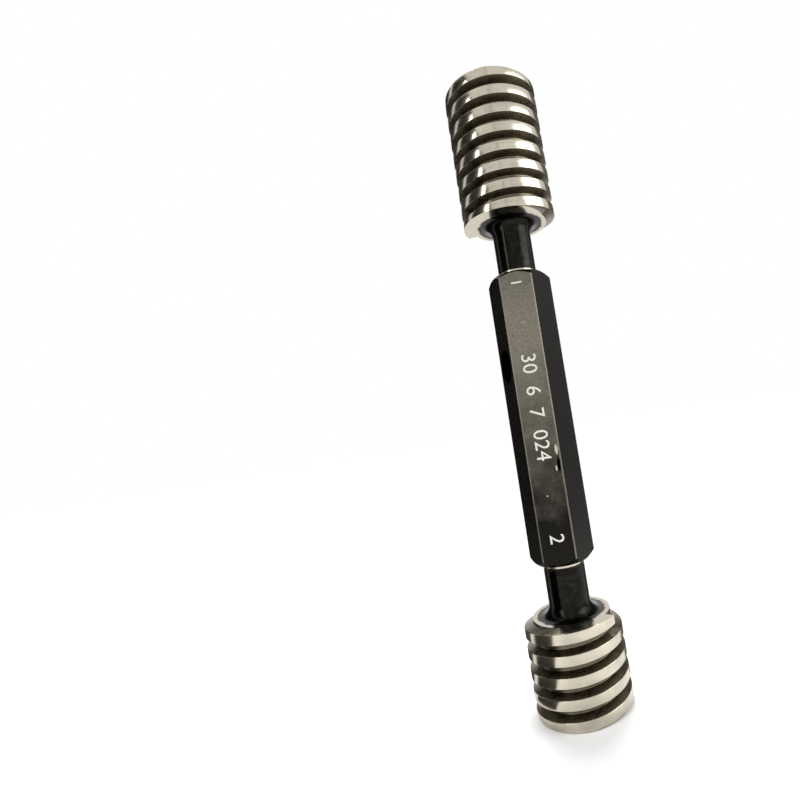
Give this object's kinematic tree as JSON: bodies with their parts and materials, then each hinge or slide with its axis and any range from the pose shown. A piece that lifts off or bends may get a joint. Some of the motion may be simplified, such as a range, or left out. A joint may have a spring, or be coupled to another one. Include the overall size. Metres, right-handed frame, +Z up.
{
  "type": "thread plug gauge",
  "caption": "Double-ended thread plug gauge: a black hexagon handle holds a long threaded GO plug and a short threaded NO-GO plug on taper shanks, to check an internal thread.",
  "frame": {"origin": "centre of the outer face of the NO-GO plug, on which the gauge stands", "axes": "+Z up the common axis, from the NO-GO plug to the GO plug; the drift slot runs along X"},
  "size_m": [0.03, 0.03, 0.1961],
  "materials": {
    "handle_steel": "blackened, satin",
    "gauge_steel": "hardened and ground, black in the necks"
  },
  "bodies": {
    "root": {"handle": "handle_steel", "go_member": "gauge_steel", "no_go_member": "gauge_steel"}
  },
  "joints": []
}
